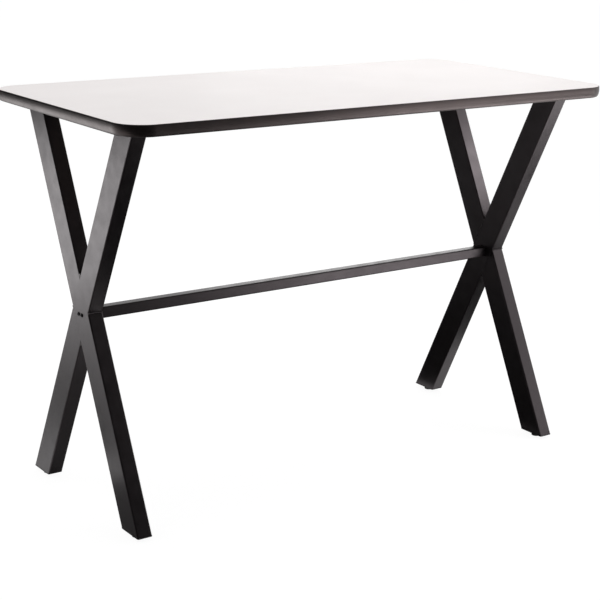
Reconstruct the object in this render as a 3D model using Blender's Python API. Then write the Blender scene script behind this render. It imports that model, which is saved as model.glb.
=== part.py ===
"""Standing-height collaboration table: a laminate top on two X frames of steel tube.

The table stands on the floor at z = 0, centred on the origin, with its length along X and its depth along Y.
Every object is one separate piece. The two frames are the same weldment, turned half a turn about Z.
"""

import math

import bmesh
import bpy
from mathutils import Euler, Matrix, Vector

# Overall size
TABLE_LENGTH = 1.524
TABLE_DEPTH = 0.762
TABLE_HEIGHT = 1.054
CORNER_RADIUS = 0.0762

# Clearances
SEAT_GAP = 0.0003  # air between a piece and what it rests on or is joined to
BOLT_CLEARANCE = 0.0003  # radial air round a bolt, screw or stud
PLUG_CLEARANCE = 0.0003  # air between a plug or block and the tube that it sits in

# Top
CORE_THICKNESS = 0.028
LAMINATE_THICKNESS = 0.0008
BACKER_THICKNESS = 0.0008

# Moulded edge, in section: inwards from the outline, and down from the surface
EDGE_WIDTH = 0.012
EDGE_LIP = 0.0022  # part of the edge that shows beside the laminate
EDGE_LIP_FLAT = 0.0006
EDGE_BULGE_DEPTH = 0.011  # the widest point lies this far below the surface
EDGE_UNDERCUT = 0.007  # how far the lower curve draws in

# X frames
FRAME_OVERHANG = 0.066  # end of the top to the frame's outer face
LEG_WIDTH = 0.0762  # tube size in the plane of the X
LEG_SIDE = 0.0413  # tube size along the table
LEG_WALL = 0.002
LEG_CORNER = 0.0035
LEG_INSET = 0.1245  # leg's centre line, at the floor and at the surface, from the long side of the top

# Mounting plates
PLATE_MARGIN = 0.0305  # plate past the outer side of each leg head
PLATE_WIDTH = 0.060
PLATE_THICKNESS = 0.005
PLATE_CORNER = 0.010
END_SCREW_INSET = 0.015
MIDDLE_SCREW_SPACING = 0.110

# Pan head wood screws
SCREW_COVER = 0.0093  # core left above a screw's point
SCREW_RADIUS = 0.00225
SCREW_POINT = 0.004
SCREW_HEAD_RADIUS = 0.005
SCREW_HEAD_HEIGHT = 0.0031
SCREW_RECESS_WIDTH = 0.0012
SCREW_RECESS_SPAN = 0.0054
SCREW_RECESS_DEPTH = 0.0017
PILOT_SPARE = 0.001  # the pilot hole runs this much deeper than the screw's point

# Stretcher
STRETCHER_SIDE = 0.030
STRETCHER_WALL = 0.002
STRETCHER_CORNER = 0.004
STRETCHER_DROP = 0.012  # its centre line below the crossing of the legs
BLOCK_THICKNESS = 0.010

# Stretcher bolts
BOLT_EDGE = 0.0042  # bolt's centre from the side of the tapped block
BOLT_RADIUS = 0.003
BOLT_SPARE = 0.001  # bolt past the far face of the tapped block
BOLT_HEAD_RADIUS = 0.00525
BOLT_HEAD_HEIGHT = 0.0033
BOLT_SOCKET_ACROSS = 0.004
BOLT_SOCKET_DEPTH = 0.002
SPACER_RADIUS = 0.006

# Foot plugs
FLANGE_PROUD = 0.0004
FLANGE_THICKNESS = 0.0022
PLUG_HEIGHT = 0.030
NUT_ACROSS = 0.013
NUT_THICKNESS = 0.0065

# Levelling glides
PAD_RADIUS = 0.0125
PAD_FLOOR = 0.0014  # plastic under the stud's foot
PAD_ROOF = 0.0018  # plastic over it
PAD_WALL = 0.0056  # plastic round it
PAD_EDGE = 0.001
STUD_RADIUS = 0.004
STUD_FOOT_THICKNESS = 0.0018
COLLAR_ACROSS = 0.013
COLLAR_HEIGHT = 0.0042
GLIDE_TRAVEL = 0.010
THREAD_SPARE = 0.001  # stud left above the nut at full travel
THREAD_POINT = 0.0007  # chamfer at the end of a stud or bolt

# Smoothness of round shapes
TOP_CORNER_STEPS = 12
TUBE_CORNER_STEPS = 4
EDGE_UPPER_STEPS = 5
EDGE_LOWER_STEPS = 7
ROUND_STEPS = 24
HOLE_STEPS = 12
HEAD_STEPS = 3
SMOOTH_ANGLE = math.radians(35)
CUT_EXTRA = 0.002  # how far a cutter runs past the face that it opens

# Heights that follow from the sizes above
LAMINATE_BOTTOM = TABLE_HEIGHT - LAMINATE_THICKNESS
CORE_TOP = LAMINATE_BOTTOM - SEAT_GAP
CORE_BOTTOM = CORE_TOP - CORE_THICKNESS
BACKER_BOTTOM = CORE_BOTTOM - SEAT_GAP - BACKER_THICKNESS
PLATE_BOTTOM = BACKER_BOTTOM - SEAT_GAP - PLATE_THICKNESS
LEG_TOP = PLATE_BOTTOM - SEAT_GAP
CROSSING_HEIGHT = TABLE_HEIGHT / 2
STRETCHER_HEIGHT = CROSSING_HEIGHT - STRETCHER_DROP
PAD_HEIGHT = PAD_FLOOR + STUD_FOOT_THICKNESS + 2 * SEAT_GAP + PAD_ROOF
COLLAR_BOTTOM = PAD_HEIGHT + SEAT_GAP
FLANGE_BOTTOM = COLLAR_BOTTOM + COLLAR_HEIGHT + SEAT_GAP
LEG_BOTTOM = FLANGE_BOTTOM + FLANGE_THICKNESS + SEAT_GAP
PLUG_TOP = FLANGE_BOTTOM + FLANGE_THICKNESS + PLUG_HEIGHT

# Places that follow from the sizes above
FRAME_X = TABLE_LENGTH / 2 - FRAME_OVERHANG - LEG_SIDE / 2
LEG_SLOPE = (TABLE_DEPTH / 2 - LEG_INSET) / CROSSING_HEIGHT
LEG_LEAN = math.atan(LEG_SLOPE)
LEG_HALF_WIDTH = LEG_WIDTH / 2 / math.cos(LEG_LEAN)  # measured level, along Y
HEAD_Y = LEG_SLOPE * (LEG_TOP - CROSSING_HEIGHT)
FOOT_Y = LEG_SLOPE * (CROSSING_HEIGHT - FLANGE_BOTTOM)
PLATE_LENGTH = 2 * (HEAD_Y + LEG_HALF_WIDTH + PLATE_MARGIN)
END_SCREW_Y = PLATE_LENGTH / 2 - END_SCREW_INSET
PLATE_SCREW_PLACES = (-END_SCREW_Y, -MIDDLE_SCREW_SPACING, 0.0, MIDDLE_SCREW_SPACING, END_SCREW_Y)
BLOCK_SIDE = STRETCHER_SIDE - 2 * (STRETCHER_WALL + PLUG_CLEARANCE)
BOLT_Y = BLOCK_SIDE / 2 - BOLT_EDGE

# Lengths and radii that follow from the sizes above
SCREW_LENGTH = CORE_TOP - SCREW_COVER - PLATE_BOTTOM + SEAT_GAP
BOLT_LENGTH = SEAT_GAP + LEG_SIDE + SEAT_GAP + BLOCK_THICKNESS + BOLT_SPARE
BORE_RADIUS = BOLT_RADIUS + BOLT_CLEARANCE
PILOT_RADIUS = SCREW_RADIUS + BOLT_CLEARANCE
STUD_BORE_RADIUS = STUD_RADIUS + BOLT_CLEARANCE
STUD_FOOT_RADIUS = PAD_RADIUS - PAD_WALL - BOLT_CLEARANCE

# Rotations that lay a piece made along Z
ALONG_Z = (0, 0, 0)
ALONG_X = (0, math.radians(90), 0)
UPSIDE_DOWN = (math.pi, 0, 0)

# Colours are linear red, green and blue, then roughness and metallic
WHITE_LAMINATE = ((0.80, 0.79, 0.78), 0.35, 0.0)
BROWN_BACKER = ((0.20, 0.15, 0.11), 0.6, 0.0)
FIBREBOARD = ((0.42, 0.29, 0.17), 0.85, 0.0)
BLACK_EDGE = ((0.02, 0.02, 0.021), 0.35, 0.0)
BLACK_POWDER_COAT = ((0.018, 0.017, 0.018), 0.38, 0.0)
BLACK_NYLON = ((0.015, 0.015, 0.016), 0.5, 0.0)
BLACK_OXIDE = ((0.03, 0.03, 0.032), 0.4, 0.9)
BARE_STEEL = ((0.35, 0.35, 0.36), 0.4, 1.0)
ZINC_PLATE = ((0.62, 0.63, 0.65), 0.3, 1.0)


def clear_scene():
    """Remove every object, so that the file holds only the table."""
    for item in list(bpy.data.objects):
        bpy.data.objects.remove(item)


def finish(name, colour, roughness, metallic):
    """Make one piece's material."""
    material = bpy.data.materials.new(name)
    material.use_nodes = True
    shader = material.node_tree.nodes["Principled BSDF"]
    shader.inputs["Base Color"].default_value = (*colour, 1.0)
    shader.inputs["Roughness"].default_value = roughness
    shader.inputs["Metallic"].default_value = metallic
    return material


def empty(name, parent=None, location=(0, 0, 0), turn=0.0):
    """Make an empty that carries a group of pieces, turned about Z."""
    item = bpy.data.objects.new(name, None)
    bpy.context.scene.collection.objects.link(item)
    item.location = location
    item.rotation_euler = (0, 0, turn)
    item.parent = parent
    return item


def place(name, mesh, look, parent=None, location=(0, 0, 0), rotation=(0, 0, 0)):
    """Place a mesh as one named piece with its own material."""
    item = bpy.data.objects.new(name, mesh)
    bpy.context.scene.collection.objects.link(item)
    item.location = location
    item.rotation_euler = rotation
    item.parent = parent
    item.material_slots[0].link = "OBJECT"
    item.material_slots[0].material = finish(name + "_finish", *look)
    return item


def rounded_rectangle(width, depth, radius, steps):
    """Points (x, y) of a rectangle with round corners, anticlockwise, centred on the origin."""
    points = []
    for quarter, (sx, sy) in enumerate(((1, 1), (-1, 1), (-1, -1), (1, -1))):
        middle = (sx * (width / 2 - radius), sy * (depth / 2 - radius))
        for step in range(steps + 1):
            angle = math.radians(90) * (quarter + step / steps)
            points.append((middle[0] + radius * math.cos(angle), middle[1] + radius * math.sin(angle)))
    return points


def flat_ring(outline, height):
    """Lift a flat outline to a height."""
    return [Vector((x, y, height)) for x, y in outline]


def loft(rings, hollow=False):
    """Extrude the first ring through the others, then cap both ends, or join them to make a hollow loft."""
    bm = bmesh.new()
    first = [bm.verts.new(point) for point in rings[0]]
    for index, corner in enumerate(first):
        bm.edges.new((first[index - 1], corner))
    current = first
    for ring in rings[1:]:
        edges = [bm.edges.get((current[index - 1], corner)) for index, corner in enumerate(current)]
        made = bmesh.ops.extrude_edge_only(bm, edges=edges)["geom"]
        fresh = {part for part in made if isinstance(part, bmesh.types.BMVert)}
        following = []
        for corner, point in zip(current, ring):
            neighbours = [edge.other_vert(corner) for edge in corner.link_edges]
            partner = next(vertex for vertex in neighbours if vertex in fresh)
            partner.co = point
            following.append(partner)
        current = following
    if hollow:
        ends = [bm.edges.get((ring[index - 1], corner)) for ring in (first, current)
                for index, corner in enumerate(ring)]
        bmesh.ops.bridge_loops(bm, edges=ends)
    else:
        bmesh.ops.contextual_create(bm, geom=first)
        bmesh.ops.contextual_create(bm, geom=current)
    return mesh_from(bm)


def mesh_from(bm):
    """Turn a bmesh into a mesh with outward faces, smooth where it is round."""
    bmesh.ops.recalc_face_normals(bm, faces=bm.faces)
    mesh = bpy.data.meshes.new("shape")
    bm.to_mesh(mesh)
    bm.free()
    mesh.shade_smooth()
    mesh.set_sharp_from_angle(angle=SMOOTH_ANGLE)
    mesh.materials.append(None)
    return mesh


def turned(profile, steps=ROUND_STEPS):
    """Spin a profile of (radius, height) points about Z. A profile that leaves the axis free is a ring."""
    bm = bmesh.new()
    corners = [bm.verts.new((radius, 0, height)) for radius, height in profile]
    edges = [bm.edges.new(pair) for pair in zip(corners, corners[1:])]
    if min(radius for radius, height in profile) > 0:
        edges.append(bm.edges.new((corners[-1], corners[0])))
    bmesh.ops.spin(bm, geom=corners + edges, cent=(0, 0, 0), axis=(0, 0, 1), angle=math.tau, steps=steps,
                   use_merge=True)
    bmesh.ops.remove_doubles(bm, verts=bm.verts, dist=1e-6)
    return mesh_from(bm)


def prism(sides, across_flats, bottom, top):
    """A regular prism along Z, given its size across flats."""
    radius = across_flats / 2 / math.cos(math.pi / sides)
    angles = [math.tau * index / sides for index in range(sides)]
    outline = [(radius * math.cos(angle), radius * math.sin(angle)) for angle in angles]
    return loft([flat_ring(outline, bottom), flat_ring(outline, top)])


def box(width, depth, bottom, top):
    """A plain box centred on the Z axis."""
    outline = [(x * width / 2, y * depth / 2) for x, y in ((1, 1), (-1, 1), (-1, -1), (1, -1))]
    return loft([flat_ring(outline, bottom), flat_ring(outline, top)])


def rod(radius, bottom, top, steps=HOLE_STEPS):
    """A plain round rod along Z, for drilling."""
    return turned([(0, bottom), (radius, bottom), (radius, top), (0, top)], steps)


def combine(mesh, tools, operation="DIFFERENCE"):
    """Cut the tools out of a mesh, or join them to it. A tool is a mesh, its place and its rotation."""
    bm = bmesh.new()
    for shape, location, rotation in tools:
        placed = shape.copy()
        placed.transform(Matrix.LocRotScale(Vector(location), Euler(rotation), None))
        bm.from_mesh(placed)
    together = bpy.data.meshes.new("tools")
    bm.to_mesh(together)
    bm.free()
    target = bpy.data.objects.new("target", mesh)
    helper = bpy.data.objects.new("cutter", together)
    helper.hide_render = True
    helper.display_type = "WIRE"
    for item in (target, helper):
        bpy.context.scene.collection.objects.link(item)
    modifier = target.modifiers.new("shape", "BOOLEAN")
    modifier.object = helper
    modifier.operation = operation
    modifier.solver = "EXACT"
    modifier.use_self = True
    bpy.context.view_layer.update()
    made = bpy.data.meshes.new_from_object(target.evaluated_get(bpy.context.evaluated_depsgraph_get()))
    for item in (target, helper):
        bpy.data.objects.remove(item)
    made.shade_smooth()
    made.set_sharp_from_angle(angle=SMOOTH_ANGLE)
    return made


def screw_places():
    """Where the wood screws go, as (x, y) in the table."""
    return [(x, y) for x in (-FRAME_X, FRAME_X) for y in PLATE_SCREW_PLACES]


def top_outline(inset):
    """Outline of the top, drawn in by an inset."""
    return rounded_rectangle(
        TABLE_LENGTH - 2 * inset, TABLE_DEPTH - 2 * inset, CORNER_RADIUS - inset, TOP_CORNER_STEPS)


def board(inset, bottom, top):
    """A flat board with the top's outline, drawn in by an inset, whose origin is on its lower face."""
    outline = top_outline(inset)
    return loft([flat_ring(outline, 0), flat_ring(outline, top - bottom)])


def edge_section():
    """Section of the moulded edge as (inset, height), from its inner lower corner outwards and up."""
    widest = TABLE_HEIGHT - EDGE_BULGE_DEPTH
    section = [(EDGE_WIDTH, BACKER_BOTTOM)]
    for step in range(EDGE_LOWER_STEPS + 1):
        angle = math.radians(90) * step / EDGE_LOWER_STEPS
        inset = EDGE_UNDERCUT * (1 - math.sin(angle))
        section.append((inset, widest - (widest - BACKER_BOTTOM) * math.cos(angle)))
    for step in range(1, EDGE_UPPER_STEPS + 1):
        angle = math.radians(90) * step / EDGE_UPPER_STEPS
        inset = (EDGE_LIP - EDGE_LIP_FLAT) * (1 - math.cos(angle))
        section.append((inset, widest + EDGE_BULGE_DEPTH * math.sin(angle)))
    section.append((EDGE_LIP, TABLE_HEIGHT))
    section.append((EDGE_LIP, CORE_TOP))
    section.append((EDGE_WIDTH, CORE_TOP))
    return section


def build_top():
    """The core board, its two laminates and the moulded edge."""
    core_inset = EDGE_WIDTH + SEAT_GAP
    backer_top = CORE_BOTTOM - SEAT_GAP
    pilot_depth = CORE_THICKNESS - SCREW_COVER + PILOT_SPARE
    pilots = [(rod(PILOT_RADIUS, -CUT_EXTRA, pilot_depth), (x, y, 0), ALONG_Z) for x, y in screw_places()]
    core = combine(board(core_inset, CORE_BOTTOM, CORE_TOP), pilots)
    place("top_core", core, FIBREBOARD, location=(0, 0, CORE_BOTTOM))
    passages = [(rod(PILOT_RADIUS, -CUT_EXTRA, BACKER_THICKNESS + CUT_EXTRA), (x, y, 0), ALONG_Z)
                for x, y in screw_places()]
    backer = combine(board(core_inset, BACKER_BOTTOM, backer_top), passages)
    place("underside_backer", backer, BROWN_BACKER, location=(0, 0, BACKER_BOTTOM))
    laminate = board(EDGE_LIP + SEAT_GAP, LAMINATE_BOTTOM, TABLE_HEIGHT)
    place("top_laminate", laminate, WHITE_LAMINATE, location=(0, 0, LAMINATE_BOTTOM))
    rings = [flat_ring(top_outline(inset), height - BACKER_BOTTOM) for inset, height in edge_section()]
    place("top_edge", loft(rings, hollow=True), BLACK_EDGE, location=(0, 0, BACKER_BOTTOM))


def leg_section(inset):
    """Section of the leg tube as (along the table, across the leg), drawn in by an inset."""
    return rounded_rectangle(
        LEG_SIDE - 2 * inset, LEG_WIDTH - 2 * inset, LEG_CORNER - inset, TUBE_CORNER_STEPS)


def leg_ring(section, lean, plane):
    """Where the leg's long edges meet a plane, given as a point on it and its normal.

    The leg runs through the crossing, and leans towards -Y on its way up by its lean.
    """
    crossing = Vector((0, 0, CROSSING_HEIGHT))
    along = Vector((0, -math.sin(lean), math.cos(lean)))
    across = Vector((0, math.cos(lean), math.sin(lean)))
    point, normal = plane
    ring = []
    for x, offset in section:
        start = crossing + Vector((x, 0, 0)) + across * offset
        ring.append(start + along * ((point - start).dot(normal) / along.dot(normal)))
    return ring


def leg(lean, lower, upper):
    """A length of leg tube, open at both ends, between two planes."""
    outside = leg_section(0)
    inside = leg_section(LEG_WALL)
    rings = [leg_ring(outside, lean, lower), leg_ring(outside, lean, upper),
             leg_ring(inside, lean, upper), leg_ring(inside, lean, lower)]
    return loft(rings, hollow=True)


def level(height):
    """A level plane."""
    return Vector((0, 0, height)), Vector((0, 0, 1))


def flank(side):
    """The plane just outside the long leg's upper (1) or lower (-1) flank, where a half leg meets it."""
    across = Vector((0, math.cos(LEG_LEAN), math.sin(LEG_LEAN)))
    return Vector((0, 0, CROSSING_HEIGHT)) + across * side * (LEG_WIDTH / 2 + SEAT_GAP), across


def long_leg_mesh():
    """The leg that runs through the crossing, with the holes for the stretcher's bolts."""
    reach = LEG_SIDE / 2 + CUT_EXTRA
    holes = [(rod(BORE_RADIUS, -reach, reach), (0, y, STRETCHER_HEIGHT), ALONG_X) for y in (-BOLT_Y, BOLT_Y)]
    return combine(leg(LEG_LEAN, level(LEG_BOTTOM), level(LEG_TOP)), holes)


def plate_mesh():
    """The flat plate welded across the two leg tops, with its screw holes."""
    outline = rounded_rectangle(PLATE_WIDTH, PLATE_LENGTH, PLATE_CORNER, TUBE_CORNER_STEPS)
    plate = loft([flat_ring(outline, 0), flat_ring(outline, PLATE_THICKNESS)])
    holes = [(rod(PILOT_RADIUS, -CUT_EXTRA, PLATE_THICKNESS + CUT_EXTRA), (0, y, 0), ALONG_Z)
             for y in PLATE_SCREW_PLACES]
    return combine(plate, holes)


def dome(radius, height, steps):
    """Profile of a domed head, from its rim up to its top on the axis."""
    angles = [math.radians(90) * step / steps for step in range(steps)]
    return [(radius * math.cos(angle), height * math.sin(angle)) for angle in angles] + [(0, height)]


def screw_mesh():
    """A pan head wood screw with a cross recess, its head up and its seat at z = 0."""
    profile = [(0, -SCREW_LENGTH), (SCREW_RADIUS, -SCREW_LENGTH + SCREW_POINT), (SCREW_RADIUS, 0)]
    head = dome(SCREW_HEAD_RADIUS, SCREW_HEAD_HEIGHT, HEAD_STEPS)
    floor = SCREW_HEAD_HEIGHT - SCREW_RECESS_DEPTH
    roof = SCREW_HEAD_HEIGHT + CUT_EXTRA
    arms = [(box(SCREW_RECESS_SPAN, SCREW_RECESS_WIDTH, floor, roof), (0, 0, 0), (0, 0, turn))
            for turn in (0, math.radians(90))]
    return combine(turned(profile + head, HOLE_STEPS), arms)


def bolt_mesh():
    """A button head bolt with a hexagon socket, its head up and its seat at z = 0."""
    profile = [(0, -BOLT_LENGTH), (BOLT_RADIUS - THREAD_POINT, -BOLT_LENGTH),
               (BOLT_RADIUS, -BOLT_LENGTH + THREAD_POINT), (BOLT_RADIUS, 0)]
    head = dome(BOLT_HEAD_RADIUS, BOLT_HEAD_HEIGHT, HEAD_STEPS)
    socket = prism(6, BOLT_SOCKET_ACROSS, BOLT_HEAD_HEIGHT - BOLT_SOCKET_DEPTH, BOLT_HEAD_HEIGHT + CUT_EXTRA)
    return combine(turned(profile + head), [(socket, (0, 0, 0), ALONG_Z)])


def spacer_mesh():
    """The sleeve that keeps a stretcher bolt from crushing the leg, along Z from its middle."""
    half = LEG_SIDE / 2 - LEG_WALL - SEAT_GAP
    return turned([(BORE_RADIUS, -half), (SPACER_RADIUS, -half), (SPACER_RADIUS, half), (BORE_RADIUS, half)])


def plug_mesh():
    """The nylon plug of a leg's bottom end, seen from its own foot: the leg leans towards -Y going up."""
    axis = Vector((0, FOOT_Y, FLANGE_BOTTOM))
    flange = leg_section(-FLANGE_PROUD)
    body = leg_section(LEG_WALL + PLUG_CLEARANCE)
    flange_top = FLANGE_BOTTOM + FLANGE_THICKNESS
    rings = [leg_ring(flange, LEG_LEAN, level(FLANGE_BOTTOM)), leg_ring(flange, LEG_LEAN, level(flange_top)),
             leg_ring(body, LEG_LEAN, level(flange_top)), leg_ring(body, LEG_LEAN, level(PLUG_TOP))]
    mesh = loft([[point - axis for point in ring] for ring in rings])
    height = PLUG_TOP - FLANGE_BOTTOM
    bore = rod(STUD_BORE_RADIUS, -CUT_EXTRA, height + CUT_EXTRA, ROUND_STEPS)
    pocket = prism(6, NUT_ACROSS + 2 * SEAT_GAP, height - NUT_THICKNESS - SEAT_GAP, height + CUT_EXTRA)
    return combine(mesh, [(bore, (0, 0, 0), ALONG_Z), (pocket, (0, 0, 0), ALONG_Z)])


def nut_mesh():
    """The steel nut held in a plug's pocket, its lower face at z = 0."""
    bore = rod(STUD_BORE_RADIUS, -CUT_EXTRA, NUT_THICKNESS + CUT_EXTRA, ROUND_STEPS)
    return combine(prism(6, NUT_ACROSS, 0, NUT_THICKNESS), [(bore, (0, 0, 0), ALONG_Z)])


def pad_mesh():
    """The glide's pad, moulded round the stud's foot so that it can turn on it."""
    room = STUD_FOOT_RADIUS + BOLT_CLEARANCE
    ceiling = PAD_FLOOR + STUD_FOOT_THICKNESS + 2 * SEAT_GAP
    outside = [(0, 0), (PAD_RADIUS - PAD_EDGE, 0), (PAD_RADIUS, PAD_EDGE),
               (PAD_RADIUS, PAD_HEIGHT - PAD_EDGE), (PAD_RADIUS - PAD_EDGE, PAD_HEIGHT)]
    inside = [(STUD_BORE_RADIUS, PAD_HEIGHT), (STUD_BORE_RADIUS, ceiling), (room, ceiling),
              (room, PAD_FLOOR), (0, PAD_FLOOR)]
    return turned(outside + inside)


def stud_mesh():
    """The glide's threaded stud, with its foot in the pad and its spanner collar under the plug."""
    foot = PAD_FLOOR + SEAT_GAP
    top = PLUG_TOP - SEAT_GAP + GLIDE_TRAVEL + THREAD_SPARE
    profile = [(0, foot), (STUD_FOOT_RADIUS, foot), (STUD_FOOT_RADIUS, foot + STUD_FOOT_THICKNESS),
               (STUD_RADIUS, foot + STUD_FOOT_THICKNESS), (STUD_RADIUS, top - THREAD_POINT),
               (STUD_RADIUS - THREAD_POINT, top), (0, top)]
    collar = prism(6, COLLAR_ACROSS, COLLAR_BOTTOM, COLLAR_BOTTOM + COLLAR_HEIGHT)
    return combine(turned(profile), [(collar, (0, 0, 0), ALONG_Z)], operation="UNION")


def build_frames():
    """Both X frames with their plates, screws, spacers and bolts."""
    long_leg = long_leg_mesh()
    upper_leg = leg(-LEG_LEAN, flank(1), level(LEG_TOP))
    lower_leg = leg(-LEG_LEAN, level(LEG_BOTTOM), flank(-1))
    plate = plate_mesh()
    screw = screw_mesh()
    spacer = spacer_mesh()
    bolt = bolt_mesh()
    for side, sign, turn in (("right", 1, 0.0), ("left", -1, math.pi)):
        frame = empty(side + "_frame", location=(sign * FRAME_X, 0, 0), turn=turn)
        place(side + "_long_leg", long_leg, BLACK_POWDER_COAT, frame)
        place(side + "_upper_half_leg", upper_leg, BLACK_POWDER_COAT, frame)
        place(side + "_lower_half_leg", lower_leg, BLACK_POWDER_COAT, frame)
        place(side + "_mounting_plate", plate, BLACK_POWDER_COAT, frame, (0, 0, PLATE_BOTTOM))
        for number, y in enumerate(PLATE_SCREW_PLACES, 1):
            place(f"{side}_top_screw_{number}", screw, ZINC_PLATE, frame, (0, y, PLATE_BOTTOM - SEAT_GAP),
                  UPSIDE_DOWN)
        for number, y in enumerate((-BOLT_Y, BOLT_Y), 1):
            inside = (0, y, STRETCHER_HEIGHT)
            outside = (LEG_SIDE / 2 + SEAT_GAP, y, STRETCHER_HEIGHT)
            place(f"{side}_bolt_spacer_{number}", spacer, BARE_STEEL, frame, inside, ALONG_X)
            place(f"{side}_stretcher_bolt_{number}", bolt, BLACK_OXIDE, frame, outside, ALONG_X)


def stretcher_ring(inset, x):
    """Section of the stretcher at a place along the table."""
    side = STRETCHER_SIDE - 2 * inset
    outline = rounded_rectangle(side, side, STRETCHER_CORNER - inset, TUBE_CORNER_STEPS)
    return [Vector((x, y, z)) for y, z in outline]


def build_stretcher():
    """The square tube between the two crossings, and the tapped block in each end of it."""
    end = FRAME_X - LEG_SIDE / 2 - SEAT_GAP
    tube = loft([stretcher_ring(0, -end), stretcher_ring(0, end), stretcher_ring(STRETCHER_WALL, end),
                 stretcher_ring(STRETCHER_WALL, -end)], hollow=True)
    place("stretcher_tube", tube, BLACK_POWDER_COAT, location=(0, 0, STRETCHER_HEIGHT))
    inset = STRETCHER_WALL + PLUG_CLEARANCE
    block = loft([stretcher_ring(inset, 0), stretcher_ring(inset, BLOCK_THICKNESS)])
    holes = [(rod(BORE_RADIUS, -CUT_EXTRA, BLOCK_THICKNESS + CUT_EXTRA), (0, y, 0), ALONG_X)
             for y in (-BOLT_Y, BOLT_Y)]
    block = combine(block, holes)
    place("right_stretcher_block", block, BARE_STEEL, location=(end - BLOCK_THICKNESS, 0, STRETCHER_HEIGHT))
    place("left_stretcher_block", block, BARE_STEEL, location=(-end, 0, STRETCHER_HEIGHT))


def build_feet():
    """The plug, nut and levelling glide of each leg. A foot's empty stands on its glide's axis."""
    plug = plug_mesh()
    nut = nut_mesh()
    pad = pad_mesh()
    stud = stud_mesh()
    nut_bottom = PLUG_TOP - NUT_THICKNESS
    for end, x in (("left", -FRAME_X), ("right", FRAME_X)):
        for reach, y, turn in (("near", -FOOT_Y, math.pi), ("far", FOOT_Y, 0.0)):
            name = f"{reach}_{end}"
            foot = empty(name + "_foot", location=(x, y, 0), turn=turn)
            place(name + "_leg_plug", plug, BLACK_NYLON, foot, (0, 0, FLANGE_BOTTOM))
            place(name + "_plug_nut", nut, ZINC_PLATE, foot, (0, 0, nut_bottom))
            place(name + "_glide_pad", pad, BLACK_NYLON, foot)
            place(name + "_glide_stud", stud, ZINC_PLATE, foot)


def build_table():
    """Build every piece of the table."""
    clear_scene()
    build_top()
    build_frames()
    build_stretcher()
    build_feet()


build_table()
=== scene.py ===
"""Looks of a standing-height collaboration table: finishes, fine shapes, studio and camera.

The table stands on the floor at z = 0, with its length along X and its depth along Y, in metres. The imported
solids give every place, and each class below finishes one sub-assembly of the table.
"""

import logging
import math
from contextlib import contextmanager
from dataclasses import dataclass
from enum import Enum
from functools import cached_property
from typing import Callable, Iterator, Optional, Sequence

import bmesh
import bpy
from bmesh.types import BMEdge, BMFace
from bpy.types import ID, Material, Node, NodeSocket, NodeTree, Object
from mathutils import Euler, Matrix, Vector


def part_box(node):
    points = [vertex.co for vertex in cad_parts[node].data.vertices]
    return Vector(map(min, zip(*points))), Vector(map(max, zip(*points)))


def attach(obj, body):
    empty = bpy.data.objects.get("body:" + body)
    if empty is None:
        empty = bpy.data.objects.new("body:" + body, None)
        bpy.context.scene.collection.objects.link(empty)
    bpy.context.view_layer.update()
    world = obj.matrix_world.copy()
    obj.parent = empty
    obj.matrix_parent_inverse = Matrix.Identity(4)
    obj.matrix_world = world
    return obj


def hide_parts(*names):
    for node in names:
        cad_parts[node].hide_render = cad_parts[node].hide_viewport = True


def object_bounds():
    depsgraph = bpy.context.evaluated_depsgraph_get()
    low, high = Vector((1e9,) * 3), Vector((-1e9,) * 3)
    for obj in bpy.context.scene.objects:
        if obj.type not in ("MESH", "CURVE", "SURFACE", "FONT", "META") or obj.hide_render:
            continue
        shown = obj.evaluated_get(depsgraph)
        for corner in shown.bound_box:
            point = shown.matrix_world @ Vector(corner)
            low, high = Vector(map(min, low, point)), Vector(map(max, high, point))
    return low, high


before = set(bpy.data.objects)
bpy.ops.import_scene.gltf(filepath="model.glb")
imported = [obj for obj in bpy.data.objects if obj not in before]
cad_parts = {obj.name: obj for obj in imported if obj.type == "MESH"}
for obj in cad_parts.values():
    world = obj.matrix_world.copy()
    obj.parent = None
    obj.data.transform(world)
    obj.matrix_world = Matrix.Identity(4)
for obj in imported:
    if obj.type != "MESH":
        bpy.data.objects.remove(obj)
CAD_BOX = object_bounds()

MM = 0.001
FIXED_BODY = "table"
SMOOTH_ANGLE = math.radians(40)
FLAT_ANGLE = math.radians(1)
QUARTER_TURN = math.radians(90)
HEXAGON_SIDES = 6
# Points nearer to each other than this are merged.
MERGE_DISTANCE = 0.002 * MM
SPIN_MERGE_DISTANCE = 0.001 * MM
PACKED_MERGE_DISTANCE = 0.005 * MM
# A face looks up or down when the Z of its normal is more than this.
FACING_SHARE = 0.9
SRGB_KNEE = 0.04045
SRGB_SLOPE = 12.92
SRGB_OFFSET = 0.055
SRGB_POWER = 2.4
Triple = tuple[float, float, float]

log = logging.getLogger("collaboration_table")


class NodeWord(Enum):
    """A choice that the nodes' names spell out."""

    @property
    def word(self) -> str:
        """The choice as the nodes spell it."""
        return self.name.lower()


class Side(NodeWord):
    """The end of the table that a piece belongs to."""

    LEFT = -1
    RIGHT = 1


class Reach(NodeWord):
    """Which long side of the table a foot stands under."""

    NEAR = -1
    FAR = 1


class Pick(Enum):
    """What edit mode selects."""

    VERTICES = "VERT"
    EDGES = "EDGE"
    FACES = "FACE"


class Tooling(Enum):
    """What a tool does to a piece."""

    CUT = "DIFFERENCE"
    FUSE = "UNION"


class Grain(Enum):
    """How the fine relief of a surface lies."""

    PEEL = "soft hills of a coat that flowed in the oven"
    PEBBLE = "even pebbles pressed by a textured plate"
    SPARKED = "small pits left by a spark-eroded mould"
    DRAWN = "lines along the way that the metal was drawn, turned or sawn"
    CHIPS = "pressed wood chips"


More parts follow.
